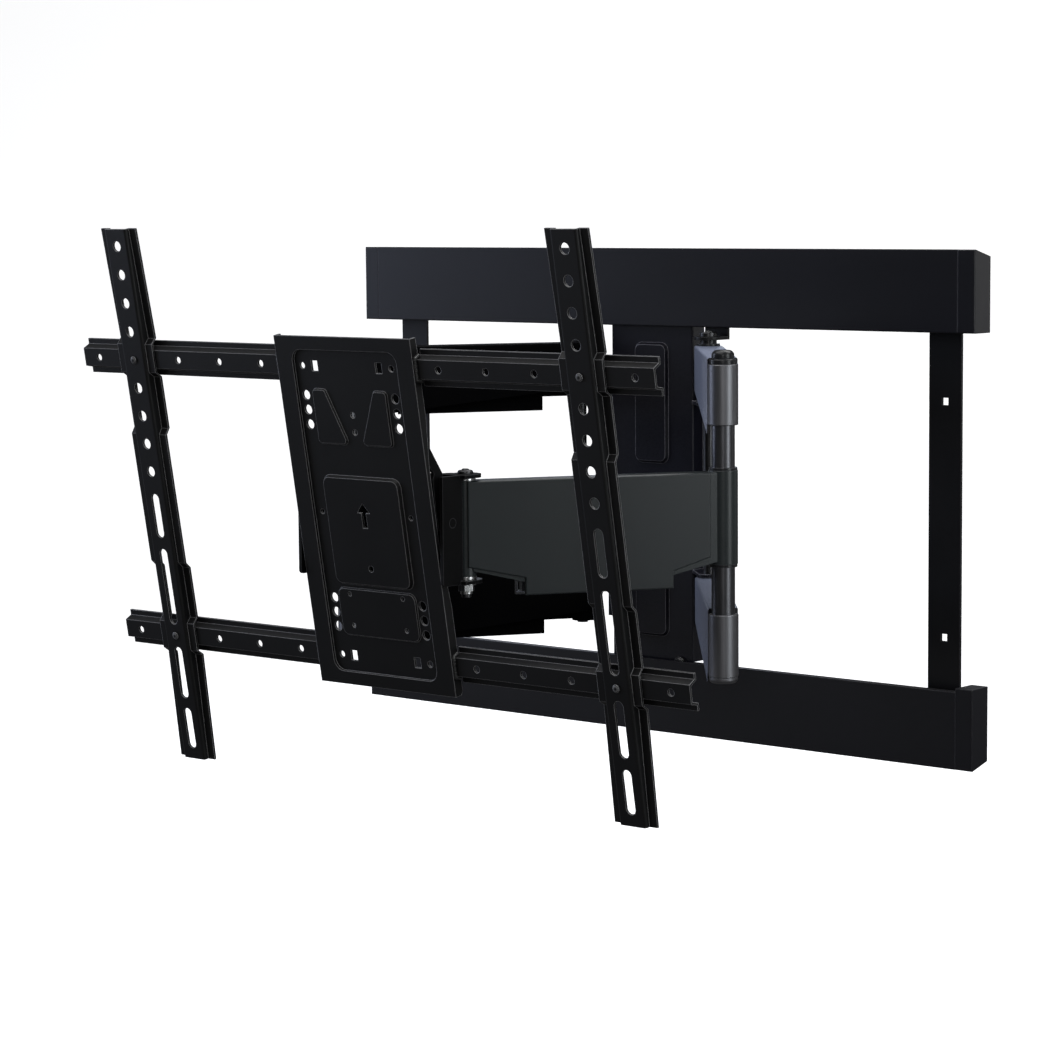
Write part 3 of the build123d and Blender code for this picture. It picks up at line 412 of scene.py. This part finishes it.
def build_head_tree():
    """A screw head at every point, narrower at its crown, turned so that it stands along the axis given."""
    tree, given, out = geometry_tree("screw_heads", [
        ("Radius", "NodeSocketFloat", 0.0030), ("Height", "NodeSocketFloat", 0.0010),
        ("Crown", "NodeSocketFloat", 0.62), ("Sides", "NodeSocketInt", 24),
        ("Axis", "NodeSocketVector", (0, 0, 1)), ("Material", "NodeSocketMaterial", None),
    ])
    base = add(tree, "GeometryNodeMeshCone")
    for label, name in (("Sides", "Vertices"), ("Radius", "Radius Bottom"), ("Height", "Depth")):
        tree.links.new(given.outputs[label], base.inputs[name])
    top = combine(tree, "MULTIPLY", given.outputs["Radius"], given.outputs["Crown"])
    tree.links.new(top, base.inputs["Radius Top"])
    aim = add(tree, "FunctionNodeAlignRotationToVector", axis="Z")
    tree.links.new(given.outputs["Axis"], aim.inputs["Vector"])
    place = add(tree, "GeometryNodeInstanceOnPoints")
    tree.links.new(given.outputs["Geometry"], place.inputs["Points"])
    tree.links.new(base.outputs["Mesh"], place.inputs["Instance"])
    tree.links.new(aim.outputs[0], place.inputs["Rotation"])
    finish_tree(tree, given, out, place.outputs[0])
    return tree


WELD_TREE = build_weld_tree()
HEAD_TREE = build_head_tree()
END_FACE_CORNERS = 5                        # a face with this many corners or more is the flat end of a head
SHARP_ANGLE = math.radians(40)


def grown(name, tree, points, edges, body, slot_name, **values):
    """Plain mesh made by a Geometry Nodes tree over points and edges in millimetres, riding on a body."""
    seed_mesh = bpy.data.meshes.new(name + "_path")
    seed_mesh.from_pydata([tuple(c * MM for c in point) for point in points], edges, [])
    source = bpy.data.objects.new(name + "_path", seed_mesh)
    bpy.context.scene.collection.objects.link(source)
    modifier = source.modifiers.new(name, "NODES")
    modifier.node_group = tree
    for item in tree.interface.items_tree:
        if item.item_type == "SOCKET" and item.in_out == "INPUT":
            label = item.name.replace(" ", "_")
            if label in values:
                modifier[item.identifier] = values[label]
    bpy.context.view_layer.update()
    evaluated = source.evaluated_get(bpy.context.evaluated_depsgraph_get())
    mesh = bpy.data.meshes.new_from_object(evaluated)
    mesh.name = name
    source.modifiers.remove(modifier)
    bpy.data.objects.remove(source)
    for face in mesh.polygons:
        face.use_smooth = len(face.vertices) < END_FACE_CORNERS
    mesh.set_sharp_from_angle(angle=SHARP_ANGLE)
    obj = bpy.data.objects.new(name, mesh)
    bpy.context.scene.collection.objects.link(obj)
    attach(obj, body)


# Places on the head, the yoke and the wall plate at rest, in millimetres
HEAD_MIDDLE = (22.083, -451.0, 134.75)      # face of the upper cross rail at its middle
HEAD_LEAN = math.radians(9.9)
RAIL_DROP = 250.0                           # from the upper cross rail down to the lower one
BRACKET_REACH = 250.0                       # from the head's middle out to each bracket
BRACKET_FACE = -5.9                         # how far a rivet stands in front of the rail's face
FLANGE_REACH = 77.3                         # from the head's middle out to the plate's flange
RAIL_WRAP = ((3.4, 10.4), (-1.2, 8.8), (-1.2, -8.8), (3.4, -10.4))      # weld over a half rail's section
PIVOT_REACH = 75.0                          # from the middle out to a wall pivot or a yoke pivot
YOKE_PIVOT_Y = -391.06
YOKE_BOLT_TOP = 49.4
WALL_PIVOT_Y = -30.0
WALL_PIN_TOP = 148.4
UPRIGHT = (0, 0, 1)


def on_head(x, y, z):
    """Point in the head's own upright frame, in world millimetres at rest."""
    lean, rise = math.cos(HEAD_LEAN), math.sin(HEAD_LEAN)
    return (HEAD_MIDDLE[0] + x, HEAD_MIDDLE[1] + y * lean - z * rise, HEAD_MIDDLE[2] + y * rise + z * lean)


def weld_beads():
    """Runs of weld where the four half rails meet the head plate's flanges."""
    points = []
    edges = []
    for side in (1, -1):
        for level in (0.0, -RAIL_DROP):
            first = len(points)
            points += [on_head(side * FLANGE_REACH, y, level + z) for y, z in RAIL_WRAP]
            edges += [(corner, corner + 1) for corner in range(first, len(points) - 1)]
    grown("weld_beads", WELD_TREE, points, edges, "tv_head", "black_steel",
          Drop_Radius=1.6 * MM, Spacing=1.5 * MM, Seed=3, Material=weld_coat)


def bracket_rivets():
    """Low crowned rivets where each bracket is joined to its rails."""
    points = []
    for side in (1, -1):
        for level in (0.0, -RAIL_DROP):
            points.append(on_head(side * BRACKET_REACH, BRACKET_FACE, level))
    axis = (0.0, -math.cos(HEAD_LEAN), -math.sin(HEAD_LEAN))
    grown("bracket_rivets", HEAD_TREE, points, [], "tv_head", "dark_steel",
          Radius=3.4 * MM, Height=0.8 * MM, Crown=0.7, Sides=28, Axis=axis, Material=bracket_coat)


def pivot_crowns():
    """Crowned centres on the heads of the yoke's swivel bolts and of the wall pins."""
    yoke_points = [(HEAD_MIDDLE[0] + side * PIVOT_REACH, YOKE_PIVOT_Y, YOKE_BOLT_TOP) for side in (1, -1)]
    grown("swivel_bolt_crowns", HEAD_TREE, yoke_points, [], "yoke_body", "dark_steel",
          Radius=3.6 * MM, Height=1.2 * MM, Crown=0.75, Sides=6, Axis=UPRIGHT, Material=dark_bolt)
    wall_points = [(side * PIVOT_REACH, WALL_PIVOT_Y, WALL_PIN_TOP) for side in (1, -1)]
    grown("wall_pin_crowns", HEAD_TREE, wall_points, [], "wall_frame", "dark_steel",
          Radius=4.2 * MM, Height=1.2 * MM, Crown=0.8, Sides=6, Axis=UPRIGHT, Material=dark_bolt)


weld_beads()
bracket_rivets()
pivot_crowns()


# ---------------------------------------------------------------- stage, light and camera
# Places and sizes are in metres here, but the camera's lens and sensor are in millimetres
FLOOR_LEVEL = -0.75
FLOOR_NEAR = -9.0
FLOOR_BEND = 3.0                            # where the floor starts to turn up
BEND_RADIUS = 2.0
BEND_STEPS = 12
BACKDROP_TOP = 8.0
FLOOR_HALF_WIDTH = 14.0
BACKDROP_TURN = math.radians(40)
CAMERA_TURN = math.radians(40.34)
CAMERA_DOWN = math.radians(5.93)
CAMERA_ROLL = math.radians(-0.49)
CAMERA_PLACE = (1.7906, -2.3101, 0.26945)
SURROUND_SEEN = 1.0                         # strength of the surround where the camera sees it
SURROUND_GLOW = 0.10                        # strength of the surround as light on the mount


def floor_mesh():
    """Level floor that bends up into a backdrop, turned to face the view."""
    rows = [(FLOOR_NEAR, FLOOR_LEVEL), (FLOOR_BEND, FLOOR_LEVEL)]
    for step in range(1, BEND_STEPS + 1):
        angle = math.pi / 2 * step / BEND_STEPS
        across = FLOOR_BEND + BEND_RADIUS * math.sin(angle)
        rows.append((across, FLOOR_LEVEL + BEND_RADIUS - BEND_RADIUS * math.cos(angle)))
    rows.append((FLOOR_BEND + BEND_RADIUS, BACKDROP_TOP))
    points = [(side, across, up) for across, up in rows for side in (-FLOOR_HALF_WIDTH, FLOOR_HALF_WIDTH)]
    faces = [(left, left + 1, left + 3, left + 2) for left in range(0, len(points) - 2, 2)]
    mesh = bpy.data.meshes.new("floor")
    mesh.from_pydata(points, [], faces)
    mesh.transform(Matrix.Rotation(BACKDROP_TURN, 4, "Z"))
    for face in mesh.polygons:
        face.use_smooth = True
    return mesh


def pale_floor():
    """Matt near-white floor with a faint glow of its own."""
    material, tree, shader = start_material("pale_floor")
    tone = noise(tree, placed_coordinates(tree), scale=1.5)
    colour = blend_colour(tree, tone, (0.90, 0.90, 0.90, 1), (0.93, 0.93, 0.93, 1))
    tree.links.new(colour, shader.inputs["Base Color"])
    shader.inputs["Roughness"].default_value = 0.9
    shader.inputs["Emission Color"].default_value = (1, 1, 1, 1)
    shader.inputs["Emission Strength"].default_value = 0.6
    return material


def stage_floor():
    """Floor and backdrop, which light neither the mount nor its gloss."""
    mesh = floor_mesh()
    mesh.materials.append(pale_floor())
    obj = bpy.data.objects.new("floor", mesh)
    bpy.context.scene.collection.objects.link(obj)
    obj.visible_glossy = False
    obj.visible_diffuse = False


def soft_box(name, place, aim, size, power, colour=(1, 1, 1)):
    """Rectangular studio light."""
    light = bpy.data.lights.new(name, "AREA")
    light.shape = "RECTANGLE"
    light.size, light.size_y = size
    light.energy = power
    light.color = colour
    obj = bpy.data.objects.new(name, light)
    obj.location = place
    obj.rotation_euler = (Vector(aim) - Vector(place)).to_track_quat("-Z", "Y").to_euler()
    obj.visible_camera = False
    bpy.context.scene.collection.objects.link(obj)


def surround():
    """White surround where it is seen, and a dim one for light and gloss."""
    world = bpy.data.worlds.new("studio")
    bpy.context.scene.world = world
    world.use_nodes = True
    tree = world.node_tree
    glow = tree.nodes["Background"]
    rays = add(tree, "ShaderNodeLightPath")
    tone = stretch(tree, rays.outputs["Is Camera Ray"], 0, 1, SURROUND_GLOW, SURROUND_SEEN)
    glow.inputs["Color"].default_value = (1, 1, 1, 1)
    tree.links.new(tone, glow.inputs["Strength"])


def studio_lights():
    """Soft boxes round the mount: a cool key from the left, and a rim from the right."""
    soft_box("overhead", place=(-0.3, -1.2, 2.6), aim=(0, -0.3, 0), size=(3.2, 2.2), power=55)
    soft_box("key_left", place=(-3.3, -1.75, 0.7), aim=(0, -0.3, 0), size=(1.4, 1.8), power=40,
             colour=(0.70, 0.78, 1.0))
    soft_box("low_left", place=(-2.0, -2.9, -0.4), aim=(0.1, -0.4, 0), size=(1.4, 0.5), power=2.0,
             colour=(0.94, 0.96, 1.0))
    soft_box("front_strip", place=(2.3, -2.95, 0.9), aim=(0.1, -0.3, 0), size=(0.7, 1.6), power=17)
    soft_box("rim_right", place=(2.9, -0.25, 0.6), aim=(0, -0.3, 0), size=(1.0, 2.0), power=34,
             colour=(0.93, 0.98, 1.0))
    soft_box("back_left", place=(-2.6, 2.4, 0.4), aim=(0.1, -0.1, 0), size=(1.6, 1.6), power=12,
             colour=(0.80, 0.86, 1.0))
    soft_box("back_right", place=(1.95, 2.5, 0.5), aim=(0.3, -0.1, 0), size=(1.0, 1.4), power=5)
    soft_box("floor_wash", place=(0.6, 1.6, 3.2), aim=(0.6, 0.8, -0.75), size=(4.0, 2.0), power=120)


def view_camera():
    """Camera of the main view."""
    data = bpy.data.cameras.new("main_view")
    data.sensor_width = 36.0
    data.lens = 107.35
    data.clip_end = 60.0
    level_x, level_y = math.cos(CAMERA_TURN), math.sin(CAMERA_TURN)
    reach = math.cos(CAMERA_DOWN)
    forward = Vector((-level_y * reach, level_x * reach, -math.sin(CAMERA_DOWN)))
    right = Vector((level_x, level_y, 0))
    up = right.cross(forward)
    rolled_right = right * math.cos(CAMERA_ROLL) + up * math.sin(CAMERA_ROLL)
    rolled_up = up * math.cos(CAMERA_ROLL) - right * math.sin(CAMERA_ROLL)
    rotation = Matrix((rolled_right, rolled_up, -forward)).transposed()
    obj = bpy.data.objects.new("main_view", data)
    obj.matrix_world = Matrix.Translation(CAMERA_PLACE) @ rotation.to_4x4()
    bpy.context.scene.collection.objects.link(obj)
    bpy.context.scene.camera = obj


stage_floor()
surround()
studio_lights()
view_camera()
bpy.context.scene.view_settings.view_transform = "Standard"
